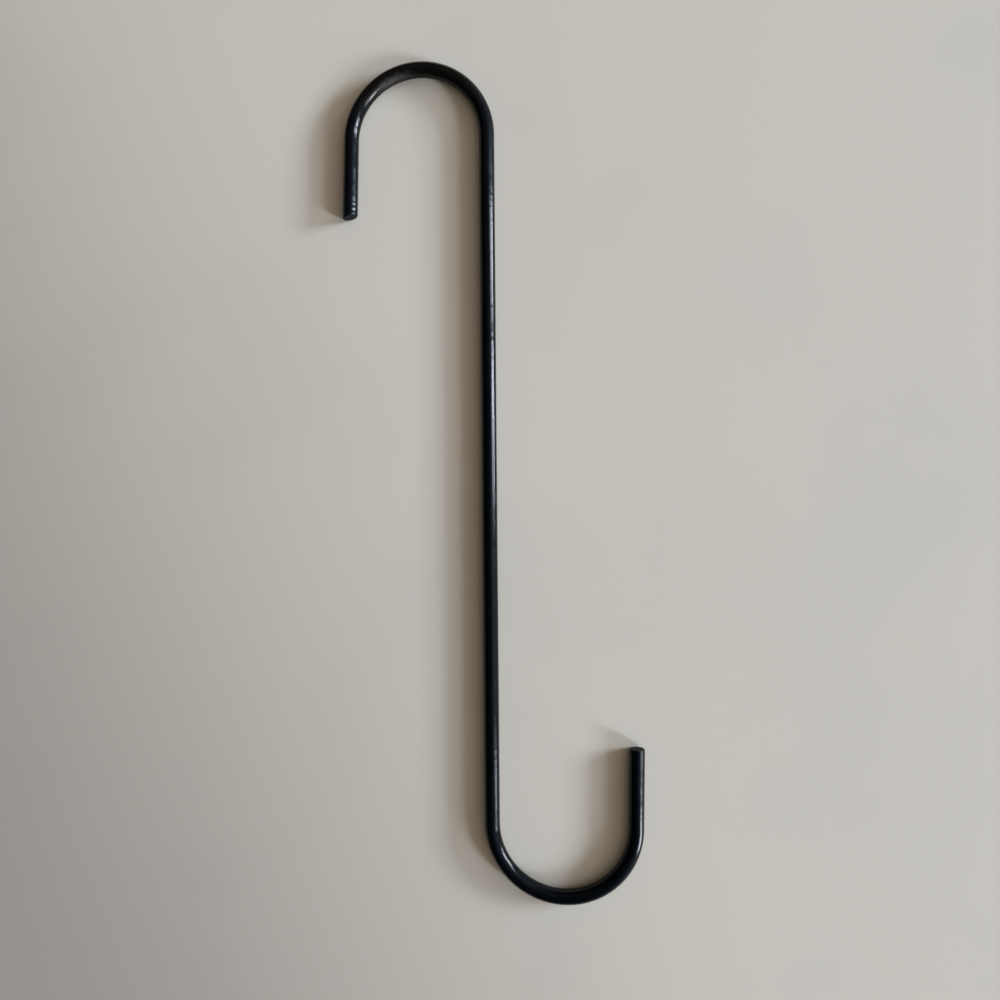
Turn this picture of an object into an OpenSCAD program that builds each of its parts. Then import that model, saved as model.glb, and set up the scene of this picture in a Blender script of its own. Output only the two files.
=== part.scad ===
// Long-shank S hook: one round steel wire with a baked coat, bent into two hooks that open to
// opposite sides. It lies flat, with the shank along Y, the upper hook opening towards -X and the
// lower hook towards +X. The origin is below the middle of its outline, on the surface it lies on.
// All sizes are in millimetres, over the coat.

/* [Wire] */
// Diameter of the straight wire
wire_d = 5.4; // [4:0.1:8]
// How much thinner the wire is where a bend stretches it
bend_draw = 0.04; // [0.02:0.01:0.1]

/* [Shank] */
// Length of the hook from the top of one bend to the foot of the other
overall_l = 300; // [160:1:450]

/* [Upper hook] */
// Radius of the bend, to the middle of the wire
upper_r = 24.7; // [12:0.1:35]
// Angle that the bend turns the wire through, short of 180 by its spring back
upper_turn = 178.5; // [150:0.5:180]
// Straight wire from the bend to the middle of the cut end
upper_leg = 27.8; // [10:0.1:60]
// Slant of the cut, which leaves the outside of the wire longer
upper_cut = 15; // [0:1:20]

/* [Lower hook] */
// Radius of the bend, to the middle of the wire
lower_r = 25.3; // [12:0.1:35]
// Angle that the bend turns the wire through, short of 180 by its spring back
lower_turn = 179; // [150:0.5:180]
// Straight wire from the bend to the middle of the cut end
lower_leg = 28; // [10:0.1:60]
// Slant of the cut, which leaves the outside of the wire longer
lower_cut = 1; // [0:1:20]

/* [Cut ends] */
// Radius that the coat gives to the rim of a cut
rim_r = 0.5; // [0.2:0.05:1]

/* [Hidden] */
$fn = 96;
wire_r = wire_d / 2;
bend_wire_d = wire_d - bend_draw;
// The ends of a bend's thinner wire are let into the straight wire by this much
lap = 0.3;
// Steps in the arc of a rim
rim_steps = 6;
// Lean of the cutter's wall away from the wire, over the slant of the cut
clear_lean = 20;
shank_l = overall_l - upper_r - lower_r - bend_wire_d;
upper_reach = reach(upper_r, upper_turn, upper_leg);
lower_reach = reach(lower_r, lower_turn, lower_leg);

// Distance from the shank's axis to the outermost point of a hook
function reach(radius, turn, leg) =
    radius * (1 - cos(turn)) + leg * sin(turn) - wire_r * cos(turn);

// Straight wire along +Y, then the children where it stops
module feed(length) {
    rotate([-90, 0, 0]) cylinder(h = length, d = wire_d);
    translate([0, length, 0]) children();
}

// Wire that turns left out of +Y, then the children where it stops
module bend(radius, turn) {
    lap_turn = lap / radius * 180 / PI;
    translate([-radius, 0, 0]) {
        rotate_extrude(start = -lap_turn, angle = turn + 2 * lap_turn)
            translate([radius, 0]) circle(d = bend_wire_d);
        rotate([0, 0, turn]) translate([radius, 0, 0]) children();
    }
}

// Straight wire along +Y that stops at a slanted cut with a rounded rim
module cut_leg(length, cut) {
    intersection() {
        rotate([-90, 0, 0]) cylinder(h = length + wire_r, d = wire_d);
        translate([0, length, 0]) rotate([90, 0, cut])
            rotate_extrude() cut_outline(2 * length, cut + clear_lean);
    }
}

// Half outline of what a cut leaves: the flat of the cut on the X axis, the arc of its rim, and
// a wall that leans out of the wire's way
module cut_outline(depth, lean) {
    flat_r = wire_r - rim_r * cos(lean);
    rim_arc = [
        for (step = [0 : rim_steps])
            let (turn = (90 - lean) * step / rim_steps)
            [flat_r + rim_r * sin(turn), rim_r - rim_r * cos(turn)]
    ];
    polygon(concat([[0, 0]], rim_arc, [[wire_r + depth * tan(lean), depth], [0, depth]]));
}

module s_hook() color("#14161a")
    translate([(upper_reach - lower_reach) / 2, (lower_r - upper_r) / 2, wire_r]) {
        translate([0, -shank_l / 2, 0])
            feed(shank_l) bend(upper_r, upper_turn) cut_leg(upper_leg, upper_cut);
        translate([0, -shank_l / 2, 0]) rotate([0, 0, 180])
            bend(lower_r, lower_turn) cut_leg(lower_leg, lower_cut);
    }

s_hook();
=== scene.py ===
import math

import bpy
from mathutils import Matrix, Vector


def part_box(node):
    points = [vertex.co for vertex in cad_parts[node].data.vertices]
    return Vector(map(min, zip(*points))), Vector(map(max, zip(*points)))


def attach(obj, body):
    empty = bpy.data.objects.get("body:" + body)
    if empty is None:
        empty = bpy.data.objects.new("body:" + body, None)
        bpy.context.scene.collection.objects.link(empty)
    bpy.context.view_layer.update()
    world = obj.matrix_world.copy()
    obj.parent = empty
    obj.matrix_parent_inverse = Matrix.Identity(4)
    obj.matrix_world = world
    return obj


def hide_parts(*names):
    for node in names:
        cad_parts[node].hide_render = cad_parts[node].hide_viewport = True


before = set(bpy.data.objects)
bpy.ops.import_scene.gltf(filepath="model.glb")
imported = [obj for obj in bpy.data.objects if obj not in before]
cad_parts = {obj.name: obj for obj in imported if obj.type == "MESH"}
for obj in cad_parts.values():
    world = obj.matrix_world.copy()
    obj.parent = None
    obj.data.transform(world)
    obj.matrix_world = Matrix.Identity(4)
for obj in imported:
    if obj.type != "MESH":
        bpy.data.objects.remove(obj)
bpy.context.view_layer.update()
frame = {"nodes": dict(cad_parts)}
hookLow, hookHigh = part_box("s_hook")
print("frame loaded, nodes:", ", ".join(frame["nodes"]))

mm = 0.001
scene = bpy.context.scene
scene.view_settings.view_transform = "Standard"


# feeds maps a socket, by name or number, to its value or to the socket that drives it
def addNode(tree, kind, feeds=None, **settings):
    node = tree.nodes.new(kind)
    node.location = (200 * len(tree.nodes), 0)
    for name, value in settings.items():
        setattr(node, name, value)
    for socket, value in (feeds or {}).items():
        if isinstance(value, bpy.types.NodeSocket):
            tree.links.new(value, node.inputs[socket])
        else:
            node.inputs[socket].default_value = value
    return node


def calc(tree, operation, first, second=0.0):
    return addNode(tree, "ShaderNodeMath", {0: first, 1: second}, operation=operation).outputs[0]


def calcVector(tree, operation, first, second):
    return addNode(tree, "ShaderNodeVectorMath", {0: first, 1: second},
                   operation=operation).outputs[0]


def scaled(tree, vector, amount):
    return addNode(tree, "ShaderNodeVectorMath", {0: vector, "Scale": amount},
                   operation="SCALE").outputs[0]


def vectorOf(tree, x=0.0, y=0.0, z=0.0):
    return addNode(tree, "ShaderNodeCombineXYZ", {"X": x, "Y": y, "Z": z}).outputs[0]


# runs from toMin to toMax while value runs from start to stop, eased at both ends
def ease(tree, value, start, stop, toMin=0.0, toMax=1.0):
    return addNode(tree, "ShaderNodeMapRange", {
        "Value": value, "From Min": start, "From Max": stop, "To Min": toMin, "To Max": toMax,
    }, interpolation_type="SMOOTHSTEP").outputs["Result"]


# size is about the distance from one high spot to the next
def noise(tree, point, size, detail=2.0):
    scale = calc(tree, "DIVIDE", 1.0, size)
    return addNode(tree, "ShaderNodeTexNoise", {
        "Vector": point, "Scale": scale, "Detail": detail}).outputs["Fac"]


# noise that swings by half of height to either side of nothing
def unevenness(tree, point, size, height, detail=2.0):
    swing = calc(tree, "SUBTRACT", noise(tree, point, size, detail), 0.5)
    return calc(tree, "MULTIPLY", swing, height)


def newGroup(name, inputs, outputs):
    group = bpy.data.node_groups.new(name, "GeometryNodeTree")
    for direction, sockets in (("INPUT", inputs), ("OUTPUT", outputs)):
        for socketName, socketType in sockets:
            group.interface.new_socket(socketName, in_out=direction, socket_type=socketType)
    given = group.nodes.new("NodeGroupInput").outputs
    result = group.nodes.new("NodeGroupOutput").inputs
    return group, given, result


# sizes of the bent wire over its coat; the CAD box gives its thickness and its whole length
wire = {
    "Diameter": hookHigh.z - hookLow.z,
    "Length": hookHigh.y - hookLow.y,
    "Bend Thinning": 0.04 * mm,
    "Rim Radius": 0.5 * mm,      # what the coat rounds the edge of a cut to
    "Rim Steps": 7,
    "Upper Radius": 24.7 * mm,
    "Upper Turn": math.radians(178.5),
    "Upper Leg": 27.8 * mm,
    "Upper Cut": math.radians(15),
    "Lower Radius": 25.3 * mm,
    "Lower Turn": math.radians(179),
    "Lower Leg": 28.0 * mm,
    "Lower Cut": math.radians(1),
    "Cut Reach": 6 * mm,         # how far up the wire a slanted cut drags its rings
    "Sides": 48,
    "Step": 0.3 * mm,            # longest face along the wire
    "Peel Height": 0.040 * mm,   # orange peel of the baked coat, low to high
    "Peel Size": 1.7 * mm,
    "Ridge Height": 0.10 * mm,   # long low ridges that drawing and straightening leave
    "Ridge Width": 1.1 * mm,
    "Ridge Length": 70 * mm,
    "Wave Height": 0.04 * mm,    # slow swell along the wire
    "Wave Size": 16 * mm,
    "Jaw Height": 0.032 * mm,    # rings where jaws held the upper end
    "Jaw Pitch": 2.15 * mm,
    "Jaw Start": -0.05 * mm,
    "Jaw Reach": 6.6 * mm,
}


# the straight wire along Y with its rounded rims, turned from half its outline
def straightWire(tree, given, upperEnd, lowerEnd):
    radius = calc(tree, "MULTIPLY", given["Diameter"], 0.5)
    upperStop = calc(tree, "MULTIPLY", upperEnd, -1.0)

    # in the outline X runs out from the wire's axis, and -Y along it
    line = addNode(tree, "GeometryNodeCurvePrimitiveQuadrilateral", {
        "Point 1": vectorOf(tree, y=lowerEnd), "Point 2": vectorOf(tree, radius, lowerEnd),
        "Point 3": vectorOf(tree, radius, upperStop), "Point 4": vectorOf(tree, y=upperStop),
    }, mode="POINTS").outputs[0]
    line = addNode(tree, "GeometryNodeSetSplineCyclic",
                   {"Geometry": line, "Cyclic": False}).outputs[0]
    line = addNode(tree, "GeometryNodeFilletCurve", {
        "Curve": line, "Count": given["Rim Steps"], "Radius": given["Rim Radius"],
        "Limit Radius": True}, mode="POLY").outputs[0]
    parameter = addNode(tree, "GeometryNodeSplineParameter").outputs
    nextLength = addNode(tree, "GeometryNodeFieldAtIndex", {
        "Value": parameter["Length"], "Index": calc(tree, "ADD", parameter["Index"], 1.0),
    }, domain="POINT", data_type="FLOAT").outputs[0]
    gap = calc(tree, "SUBTRACT", nextLength, parameter["Length"])
    line = addNode(tree, "GeometryNodeSubdivideCurve", {
        "Curve": line, "Cuts": calc(tree, "FLOOR", calc(tree, "DIVIDE", gap, given["Step"])),
    }).outputs[0]

    # turned about Z on a ring thinner than a hair, closed at both poles and laid down along Y
    poleRadius = 0.0001 * mm
    axis = addNode(tree, "GeometryNodeCurvePrimitiveCircle", {
        "Resolution": given["Sides"], "Radius": poleRadius}, mode="RADIUS").outputs[0]
    body = addNode(tree, "GeometryNodeCurveToMesh",
                   {"Curve": axis, "Profile Curve": line}).outputs[0]
    body = addNode(tree, "GeometryNodeMergeByDistance",
                   {"Geometry": body, "Distance": 10 * poleRadius}).outputs[0]
    body = addNode(tree, "GeometryNodeFlipFaces", {"Mesh": body}).outputs[0]
    return addNode(tree, "GeometryNodeTransform", {
        "Geometry": body, "Rotation": (-math.pi / 2, 0, 0)}).outputs[0]


# the coat's relief is drawn on the straight wire and stays with it through the bends
def coatedWire(tree, given, body, upperEnd):
    position = addNode(tree, "GeometryNodeInputPosition").outputs[0]
    body = addNode(tree, "GeometryNodeStoreNamedAttribute", {
        "Geometry": body, "Name": "wirePoint", "Value": position,
    }, data_type="FLOAT_VECTOR", domain="POINT").outputs[0]
    peel = unevenness(tree, position, given["Peel Size"], given["Peel Height"])
    wave = unevenness(tree, position, given["Wave Size"], given["Wave Height"], detail=1.0)
    squash = calc(tree, "DIVIDE", given["Ridge Width"], given["Ridge Length"])
    drawn = calcVector(tree, "MULTIPLY", position, vectorOf(tree, 1.0, squash, 1.0))
    ridges = unevenness(tree, drawn, given["Ridge Width"], given["Ridge Height"], detail=1.0)
    lift = calc(tree, "ADD", peel, calc(tree, "ADD", wave, ridges))

    # rings that fade out up the wire from the upper cut
    along = addNode(tree, "ShaderNodeSeparateXYZ", {0: position}).outputs["Y"]
    fromCut = calc(tree, "SUBTRACT", upperEnd, along)
    rings = calc(tree, "DIVIDE", calc(tree, "SUBTRACT", fromCut, given["Jaw Start"]),
                 given["Jaw Pitch"])
    rings = calc(tree, "SINE", calc(tree, "MULTIPLY", rings, 2 * math.pi))
    rings = calc(tree, "MULTIPLY", rings, ease(tree, fromCut, given["Jaw Reach"], 0.0))
    lift = calc(tree, "ADD", lift, calc(tree, "MULTIPLY", rings, given["Jaw Height"]))
    normal = addNode(tree, "GeometryNodeInputNormal").outputs[0]
    return addNode(tree, "GeometryNodeSetPosition", {
        "Geometry": body, "Offset": scaled(tree, normal, lift)}).outputs[0]


# turns what a straight wire has beyond y = Straight round a bend to the left
def bendGroup():
    group, given, result = newGroup(
        "bendWire",
        [("Position", "NodeSocketVector"), ("Straight", "NodeSocketFloat"),
         ("Radius", "NodeSocketFloat"), ("Turn", "NodeSocketFloat")],
        [("Position", "NodeSocketVector")])
    along = addNode(group, "ShaderNodeSeparateXYZ", {0: given["Position"]}).outputs["Y"]
    past = calc(group, "SUBTRACT", along, given["Straight"])
    angle = addNode(group, "ShaderNodeClamp", {
        "Value": calc(group, "DIVIDE", past, given["Radius"]), "Min": 0.0, "Max": given["Turn"],
    }).outputs[0]
    usedUp = vectorOf(group, y=calc(group, "MULTIPLY", angle, given["Radius"]))
    centre = vectorOf(group, x=calc(group, "MULTIPLY", given["Radius"], -1.0),
                      y=given["Straight"])
    turned = addNode(group, "ShaderNodeVectorRotate", {
        "Vector": calcVector(group, "SUBTRACT", given["Position"], usedUp),
        "Center": centre, "Angle": angle}, rotation_type="Z_AXIS").outputs[0]
    group.links.new(turned, result["Position"])
    return group


# each end is sheared to the slant of its cut, then bent; the lower one half a turn round
def bentWire(tree, given, body, straight, upperEnd, lowerEnd):
    position = addNode(tree, "GeometryNodeInputPosition").outputs[0]
    split = addNode(tree, "ShaderNodeSeparateXYZ", {0: position}).outputs
    bend = bendGroup()
    for name, end, side in (("Upper", upperEnd, 1.0), ("Lower", lowerEnd, -1.0)):
        across = calc(tree, "MULTIPLY", split["X"], side)
        along = calc(tree, "MULTIPLY", split["Y"], side)
        ownHalf = addNode(tree, "FunctionNodeCompare", {0: along, 1: 0.0},
                          data_type="FLOAT", operation="GREATER_THAN").outputs[0]
        share = ease(tree, along, calc(tree, "SUBTRACT", end, given["Cut Reach"]), end)
        slant = calc(tree, "MULTIPLY", across, calc(tree, "TANGENT", given[name + " Cut"]))
        along = calc(tree, "ADD", along, calc(tree, "MULTIPLY", slant, share))
        bent = addNode(tree, "GeometryNodeGroup", {
            "Position": vectorOf(tree, across, along, split["Z"]),
            "Straight": straight, "Radius": given[name + " Radius"],
            "Turn": given[name + " Turn"]}, node_tree=bend).outputs[0]
        body = addNode(tree, "GeometryNodeSetPosition", {
            "Geometry": body, "Selection": ownHalf,
            "Position": calcVector(tree, "MULTIPLY", bent, (side, side, 1.0))}).outputs[0]
    return body


# the whole hook: a straight coated wire is turned, cut on the slant and then bent at both ends
def hookTree():
    tree, given, result = newGroup(
        "bentWireHook",
        [(name, "NodeSocketInt" if isinstance(value, int) else "NodeSocketFloat")
         for name, value in wire.items()] + [("Coat", "NodeSocketMaterial")],
        [("Geometry", "NodeSocketGeometry")])

    # the shank is what the two bends leave of the whole length
    bends = calc(tree, "ADD", given["Upper Radius"], given["Lower Radius"])
    bentDiameter = calc(tree, "SUBTRACT", given["Diameter"], given["Bend Thinning"])
    shank = calc(tree, "SUBTRACT", given["Length"], calc(tree, "ADD", bends, bentDiameter))
    straight = calc(tree, "MULTIPLY", shank, 0.5)
    ends = []                    # distance from the middle of the shank to each cut
    for name in ("Upper", "Lower"):
        bent = calc(tree, "MULTIPLY", given[name + " Radius"], given[name + " Turn"])
        ends.append(calc(tree, "ADD", calc(tree, "ADD", straight, bent), given[name + " Leg"]))
    upperEnd, lowerEnd = ends

    body = straightWire(tree, given, upperEnd, lowerEnd)
    body = coatedWire(tree, given, body, upperEnd)
    body = bentWire(tree, given, body, straight, upperEnd, lowerEnd)
    body = addNode(tree, "GeometryNodeSetShadeSmooth", {"Geometry": body}).outputs[0]
    body = addNode(tree, "GeometryNodeRealizeInstances", {"Geometry": body}).outputs[0]
    body = addNode(tree, "GeometryNodeSetMaterial",
                   {"Geometry": body, "Material": given["Coat"]}).outputs[0]
    tree.links.new(body, result["Geometry"])
    return tree


coat = {
    "thick": (0.0010, 0.0018, 0.0031, 1),    # blue-black of the coat
    "thin": (0.0020, 0.0027, 0.0040, 1),     # where it has run thinner
    "cloudSize": 7 * mm,
    "cloudRange": (0.35, 0.65),              # of the noise, from thick to thin
    "gloss": 0.08,
    "dull": 0.18,                            # roughness of a smear
    "smearSize": 2.8 * mm,
    "smearRange": (0.3, 0.75),
    "specular": 0.21,
    "grainSize": 0.45 * mm,
    "grainHeight": 0.004,                    # heights are in millimetres
    "cutHeight": 0.30,                       # rough cut ends under the coat
    "cutSize": 0.8 * mm,
    "cutDull": 0.60,
    "cutRange": (0.3 * mm, 0.1 * mm),        # how far from a cut this starts and is full
    "upperLean": 0.028,                      # lean of a leg's surface beyond its bend
    "lowerLean": 0.036,
    "leanRun": 15 * mm,                      # how much of the bend it comes in over
    "greyerBend": (0.0042, 0.0038, 0.0031, 1),  # a greyer tone over the upper bend, of no known cause
    "greyerFrom": 124 * mm,                 # along the wire, from the middle of the shank
    "greyerTo": 196 * mm,
    "greyerFade": 16 * mm,
    "rubbedAndReflected": (0.044, 0.039, 0.039, 1),      # where it has hung, inside the upper bend: a rougher rubbed patch, and its lighter colour is a painted reflection
    "rubAndReflectionMiddle": (-2.18 * mm, 171.0 * mm, 1.59 * mm),
    "rubAndReflectionReach": (1.9 * mm, 9.5 * mm, 1.9 * mm),
    "rubAndReflectionRange": (1.7, 0.4),                  # in reaches, where it starts and is full
    "rubAndReflectionPatchSize": 1.4 * mm,                # of the spots that break up its edge
    "rubDull": 0.45,
}


def mixColour(tree, factor, first, second):
    node = addNode(tree, "ShaderNodeMix", {0: factor, 6: first, 7: second}, data_type="RGBA")
    return node.outputs[2]


# distance along the wire from the middle of the shank to one of its cuts
def wireEnd(hook):
    bends = wire["Upper Radius"] + wire["Lower Radius"]
    shank = wire["Length"] - bends - wire["Diameter"] + wire["Bend Thinning"]
    return shank / 2 + wire[hook + " Radius"] * wire[hook + " Turn"] + wire[hook + " Leg"]


# height, in millimetres, that leans a leg's surface away from its bend
def leanHeight(tree, out, hook, lean):
    run = coat["leanRun"]
    past = calc(tree, "SUBTRACT", out, wireEnd(hook) - wire[hook + " Leg"] - run)
    past = calc(tree, "MAXIMUM", 0.0, past)
    inBend = calc(tree, "MINIMUM", past, run)
    rise = calc(tree, "DIVIDE", calc(tree, "POWER", inBend, 2.0), 2 * run)
    rise = calc(tree, "ADD", rise, calc(tree, "SUBTRACT", past, inBend))
    return calc(tree, "MULTIPLY", rise, lean / mm)


def coatMaterial():
    material = bpy.data.materials.new("blackCoat")
    material.use_nodes = True
    tree = material.node_tree
    shader = tree.nodes["Principled BSDF"].inputs
    wirePoint = addNode(tree, "ShaderNodeAttribute", attribute_name="wirePoint").outputs["Vector"]
    upperOut = addNode(tree, "ShaderNodeSeparateXYZ", {0: wirePoint}).outputs["Y"]
    lowerOut = calc(tree, "MULTIPLY", upperOut, -1.0)

    # masks: the rubbed patch with its painted reflection, the two cut faces and the greyer bend
    fromRubAndReflection = calcVector(tree, "SUBTRACT", wirePoint, coat["rubAndReflectionMiddle"])
    fromRubAndReflection = calcVector(tree, "DIVIDE", fromRubAndReflection, coat["rubAndReflectionReach"])
    fromRubAndReflection = addNode(tree, "ShaderNodeVectorMath", {0: fromRubAndReflection},
                      operation="LENGTH").outputs["Value"]
    patchy = noise(tree, wirePoint, coat["rubAndReflectionPatchSize"], 3.0)
    rubAndReflection = ease(tree, calc(tree, "ADD", fromRubAndReflection, patchy), *coat["rubAndReflectionRange"])
    cuts = []
    for out, hook in ((upperOut, "Upper"), (lowerOut, "Lower")):
        start, stop = (wireEnd(hook) - inside for inside in coat["cutRange"])
        cuts.append(ease(tree, out, start, stop))
    cut = calc(tree, "MAXIMUM", *cuts)
    start, stop, fade = coat["greyerFrom"], coat["greyerTo"], coat["greyerFade"]
    greyerBend = calc(tree, "MULTIPLY", ease(tree, upperOut, start, start + fade),
                   ease(tree, upperOut, stop, stop - fade))

    cloud = ease(tree, noise(tree, wirePoint, coat["cloudSize"], 3.0), *coat["cloudRange"])
    colour = mixColour(tree, cloud, coat["thick"], coat["thin"])
    colour = mixColour(tree, greyerBend, colour, coat["greyerBend"])
    # the rubbed patch's lighter colour is a painted reflection on the coat
    tree.links.new(mixColour(tree, rubAndReflection, colour, coat["rubbedAndReflected"]), shader["Base Color"])

    smear = noise(tree, wirePoint, coat["smearSize"], 4.0)
    dull = ease(tree, smear, *coat["smearRange"], coat["gloss"], coat["dull"])
    dull = calc(tree, "MAXIMUM", dull, calc(tree, "MULTIPLY", rubAndReflection, coat["rubDull"]))
    dull = calc(tree, "MAXIMUM", dull, calc(tree, "MULTIPLY", cut, coat["cutDull"]))
    tree.links.new(dull, shader["Roughness"])

    grain = calc(tree, "MULTIPLY", noise(tree, wirePoint, coat["grainSize"], 3.0),
                 coat["grainHeight"])
    rough = calc(tree, "MULTIPLY", noise(tree, wirePoint, coat["cutSize"], 3.0),
                 coat["cutHeight"])
    height = calc(tree, "ADD", grain, calc(tree, "MULTIPLY", rough, cut))
    for out, hook, lean in ((upperOut, "Upper", coat["upperLean"]),
                            (lowerOut, "Lower", coat["lowerLean"])):
        height = calc(tree, "ADD", height, leanHeight(tree, out, hook, lean))
    bump = addNode(tree, "ShaderNodeBump", {
        "Strength": 1.0, "Distance": mm, "Height": height}).outputs[0]
    tree.links.new(bump, shader["Normal"])
    shader["Specular IOR Level"].default_value = coat["specular"]
    return material


# the tree is run once and kept as a plain mesh, set down where the CAD hook lies
def buildHook():
    holder = bpy.data.objects.new("hookHolder", bpy.data.meshes.new("hookHolder"))
    scene.collection.objects.link(holder)
    modifier = holder.modifiers.new("bentWireHook", "NODES")
    modifier.node_group = hookTree()
    values = dict(wire, Coat=coatMaterial())
    for socket in modifier.node_group.interface.items_tree:
        if socket.in_out == "INPUT":
            modifier[socket.identifier] = values[socket.name]
    bpy.context.view_layer.update()
    evaluated = holder.evaluated_get(bpy.context.evaluated_depsgraph_get())
    mesh = bpy.data.meshes.new_from_object(evaluated)
    mesh.name = "hookWire"
    holder.modifiers.remove(modifier)
    bpy.data.objects.remove(holder)

    corners = [[pick(v.co[axis] for v in mesh.vertices) for axis in range(3)]
               for pick in (min, max)]
    middle = (Vector(corners[0]) + Vector(corners[1])) / 2
    mesh.transform(Matrix.Translation((hookLow + hookHigh) / 2 - middle))
    hook = bpy.data.objects.new("hookWire", mesh)
    scene.collection.objects.link(hook)
    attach(hook, "root")
    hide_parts("s_hook")
    print("hook built:", len(mesh.vertices), "vertices,", len(mesh.polygons), "faces")


# a round table top; past its rim only the pale air is seen
board = {
    "radius": 1.0,
    "sides": 180,
    "pale": (0.574, 0.553, 0.500, 1),
    "worn": (0.555, 0.536, 0.486, 1),
    "stainSize": 0.09,
    "stainRange": (0.45, 0.7),   # of the noise, from pale to worn
    "paintedShade": 0.41,                # how much painted shade darkens it towards the near left corner
    "paintedShadeWay": (-0.893, -0.449, 0),
    "paintedShadeRange": (-0.015, 0.265),    # along that way, from the origin
    "roughness": 0.9,
    "specular": 0.0,
}


def buildBoard():
    turns = [2 * math.pi * side / board["sides"] for side in range(board["sides"])]
    radius = board["radius"]
    rim = [(radius * math.cos(turn), radius * math.sin(turn), 0) for turn in turns]
    mesh = bpy.data.meshes.new("paleBoard")
    mesh.from_pydata(rim, [], [range(board["sides"])])
    material = bpy.data.materials.new("paleBoard")
    material.use_nodes = True
    tree = material.node_tree
    shader = tree.nodes["Principled BSDF"].inputs
    point = addNode(tree, "ShaderNodeTexCoord").outputs["Object"]
    stain = ease(tree, noise(tree, point, board["stainSize"], 3.0), *board["stainRange"])
    # painted shade: the board's colour is darkened towards the near left corner
    towards = addNode(tree, "ShaderNodeVectorMath", {0: point, 1: board["paintedShadeWay"]},
                      operation="DOT_PRODUCT").outputs["Value"]
    shade = ease(tree, towards, *board["paintedShadeRange"], 1.0, 1.0 - board["paintedShade"])
    tone = scaled(tree, mixColour(tree, stain, board["pale"], board["worn"]), shade)
    tree.links.new(tone, shader["Base Color"])
    shader["Roughness"].default_value = board["roughness"]
    shader["Specular IOR Level"].default_value = board["specular"]
    mesh.materials.append(material)
    floor = bpy.data.objects.new("paleBoard", mesh)
    scene.collection.objects.link(floor)
    print("board laid")


# soft boxes stand in one wall on the right: (from y, to y), (from z, to z), brightness
lampWall = 4.5                   # its distance along x
lamps = {
    "nearBox": ((-0.04, 0.47), (0.87, 1.61), 47),
    "middleBox": ((0.47, 0.95), (0.87, 1.61), 103),
    "farBox": ((1.16, 1.66), (0.87, 1.61), 97),
    "farEdge": ((1.66, 1.85), (0.87, 1.61), 26),
    "middleTop": ((0.47, 0.95), (2.03, 3.09), 12),
    "farTop": ((1.16, 1.80), (2.03, 4.22), 6),
    "sideEdge": ((-2.33, -1.83), (1.29, 2.81), 8),
    "sideBox": ((-3.00, -2.33), (1.29, 2.70), 78),
}
lampColour = (0.873, 1.0, 1.155)


def hangLamps():
    for name, (yEnds, zEnds, brightness) in lamps.items():
        data = bpy.data.lights.new(name, "AREA")
        data.shape = "RECTANGLE"
        data.size = yEnds[1] - yEnds[0]
        data.size_y = zEnds[1] - zEnds[0]
        data.energy = brightness * math.pi * data.size * data.size_y
        data.color = lampColour
        lamp = bpy.data.objects.new(name, data)
        lamp.location = (lampWall, sum(yEnds) / 2, sum(zEnds) / 2)
        lamp.rotation_euler = (math.pi / 2, 0, math.pi / 2)
        lamp.visible_camera = False
        lamp.visible_glossy = False
        scene.collection.objects.link(lamp)
    print("lamps hung:", len(lamps))


# windows that only the gloss shows, by the direction they are seen in: (from y, to y),
# (from z, to z), brightness
panes = {
    "farPane": ((0.235, 0.352), (-0.02, 0.64), 14),
    "farFoot": ((0.235, 0.352), (-0.02, 0.40), 6),
    "farSill": ((0.235, 0.352), (-0.02, 0.19), 20),
    "nearPane": ((0.005, 0.195), (-0.02, 0.60), 11.5),
    "nearFoot": ((0.10, 0.195), (0.15, 0.49), 25),
    "nearSill": ((0.005, 0.195), (-0.02, 0.03), 80),
    "sidePane": ((-0.370, -0.312), (-0.02, 0.60), 11),
    "sideGap": ((-0.435, -0.370), (-0.02, 0.50), 1.8),
    "sideFoot": ((-0.62, -0.435), (-0.02, 0.50), 21),
}
paneColour = (0.92, 1.0, 1.13)
paneEdges = (0.008, 0.024)       # softness of the upright edges and of the level ones
paneRange = (0.05, 0.15)         # along x, so that no window shows on the dark side

# the room is bright on the side of the lamps and dark on the other
air = {
    "fillBright": (1.038, 0.835, 0.647, 1),    # what the floor and the dull surfaces get
    "fillDark": (0.135, 0.115, 0.094, 1),
    "fillRange": (-0.3, 1.0),                  # along x, from dark to bright
    "seenBright": (0.650, 0.800, 0.960, 1),    # what the gloss shows above the horizon
    "seenDark": (0.008, 0.012, 0.016, 1),
    "seenRange": (0.0, 1.0),
    "glow": (0.130, 0.120, 0.100, 1),          # on the side of the upper hook
    "glowRangeY": (0.1, 0.6),
    "glowRangeZ": (0.5, 0.8),
    "horizon": (0.56, 0.545, 0.505, 1),        # backdrop, and the foot of it in the gloss
    "horizonRange": (0.02, 0.12),
}


# 1 between the two ends, with soft edges
def band(tree, value, ends, edge):
    low, high = ends
    return calc(tree, "MULTIPLY", ease(tree, value, low - edge, low + edge),
                ease(tree, value, high + edge, high - edge))


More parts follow.
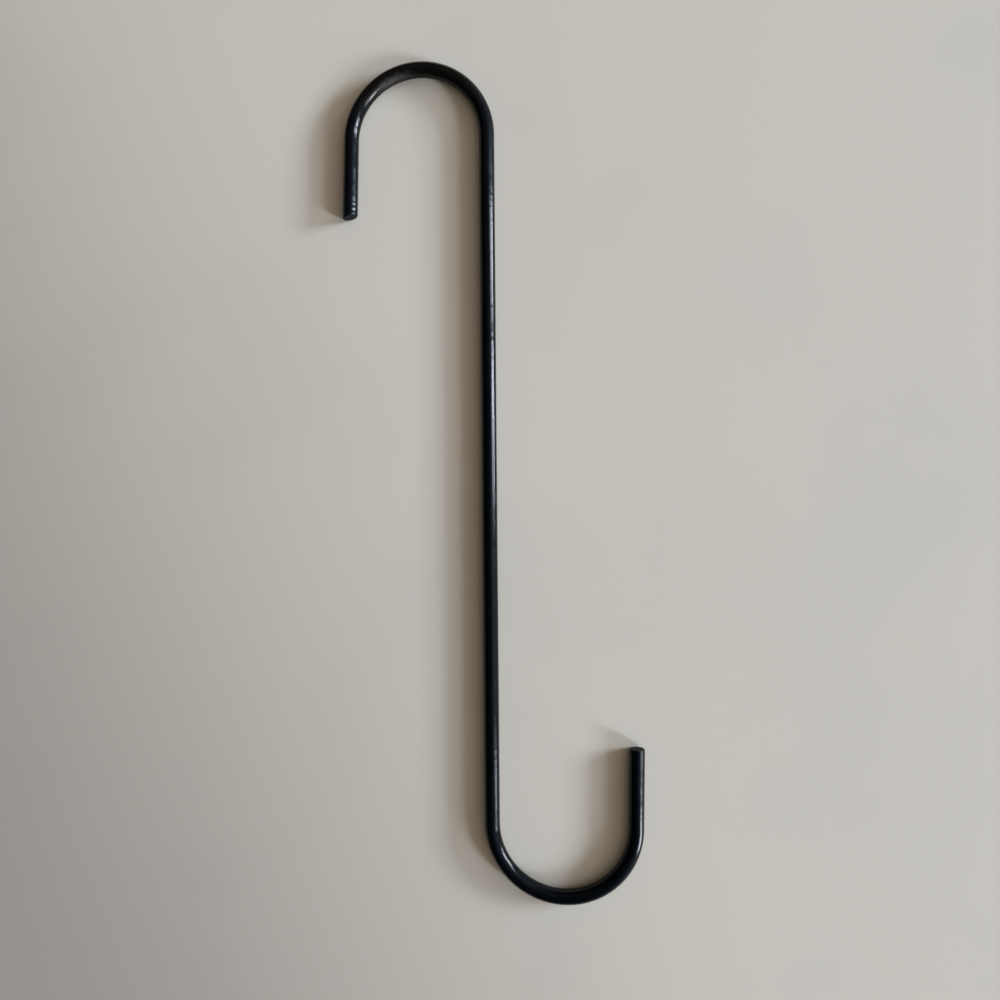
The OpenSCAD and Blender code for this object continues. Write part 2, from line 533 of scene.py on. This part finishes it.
def fillAir():
    world = bpy.data.worlds.new("studioAir")
    world.use_nodes = True
    scene.world = world
    tree = world.node_tree
    way = addNode(tree, "ShaderNodeSeparateXYZ", {
        0: addNode(tree, "ShaderNodeTexCoord").outputs["Generated"]}).outputs
    path = addNode(tree, "ShaderNodeLightPath").outputs
    mirrored = calc(tree, "MAXIMUM", path["Is Glossy Ray"], path["Is Transmission Ray"])

    # what lights the floor and the dull surfaces
    bright = ease(tree, way["X"], *air["fillRange"])
    fill = mixColour(tree, bright, air["fillDark"], air["fillBright"])

    # what is seen: the room in the gloss, and the plain backdrop everywhere else
    glow = calc(tree, "MULTIPLY", ease(tree, way["Y"], *air["glowRangeY"]),
                ease(tree, way["Z"], *air["glowRangeZ"]))
    sight = mixColour(tree, glow, air["seenDark"], air["glow"])
    sight = mixColour(tree, ease(tree, way["X"], *air["seenRange"]), sight, air["seenBright"])
    room = calc(tree, "MULTIPLY", mirrored, ease(tree, way["Z"], *air["horizonRange"]))
    sight = mixColour(tree, room, air["horizon"], sight)
    shine = calc(tree, "MULTIPLY", path["Is Glossy Ray"], ease(tree, way["X"], *paneRange))
    for yEnds, zEnds, brightness in panes.values():
        pane = calc(tree, "MULTIPLY", band(tree, way["Y"], yEnds, paneEdges[0]),
                    band(tree, way["Z"], zEnds, paneEdges[1]))
        pane = calc(tree, "MULTIPLY", calc(tree, "MULTIPLY", pane, shine), brightness)
        sight = calcVector(tree, "ADD", sight, scaled(tree, paneColour, pane))

    seen = calc(tree, "MAXIMUM", path["Is Camera Ray"], mirrored)
    background = tree.nodes["Background"].inputs
    tree.links.new(mixColour(tree, seen, fill, sight), background["Color"])
    background["Strength"].default_value = 1.0
    print("air filled")


# above the middle of the hook, looking down
viewpoint = {
    "place": (0.0347, -0.0071, 0.2798),
    "tilt": (-0.111, 6.480, -0.485),    # in degrees
    "sensorWidth": 36,                  # in millimetres, as the focal length is
    "focalLength": 28.26,
}


def setCamera():
    data = bpy.data.cameras.new("camera")
    data.sensor_width = viewpoint["sensorWidth"]
    data.lens = viewpoint["focalLength"]
    data.clip_start = 0.01
    camera = bpy.data.objects.new("camera", data)
    camera.location = viewpoint["place"]
    camera.rotation_euler = [math.radians(angle) for angle in viewpoint["tilt"]]
    scene.collection.objects.link(camera)
    scene.camera = camera
    print("camera set")


buildHook()
buildBoard()
hangLamps()
fillAir()
setCamera()
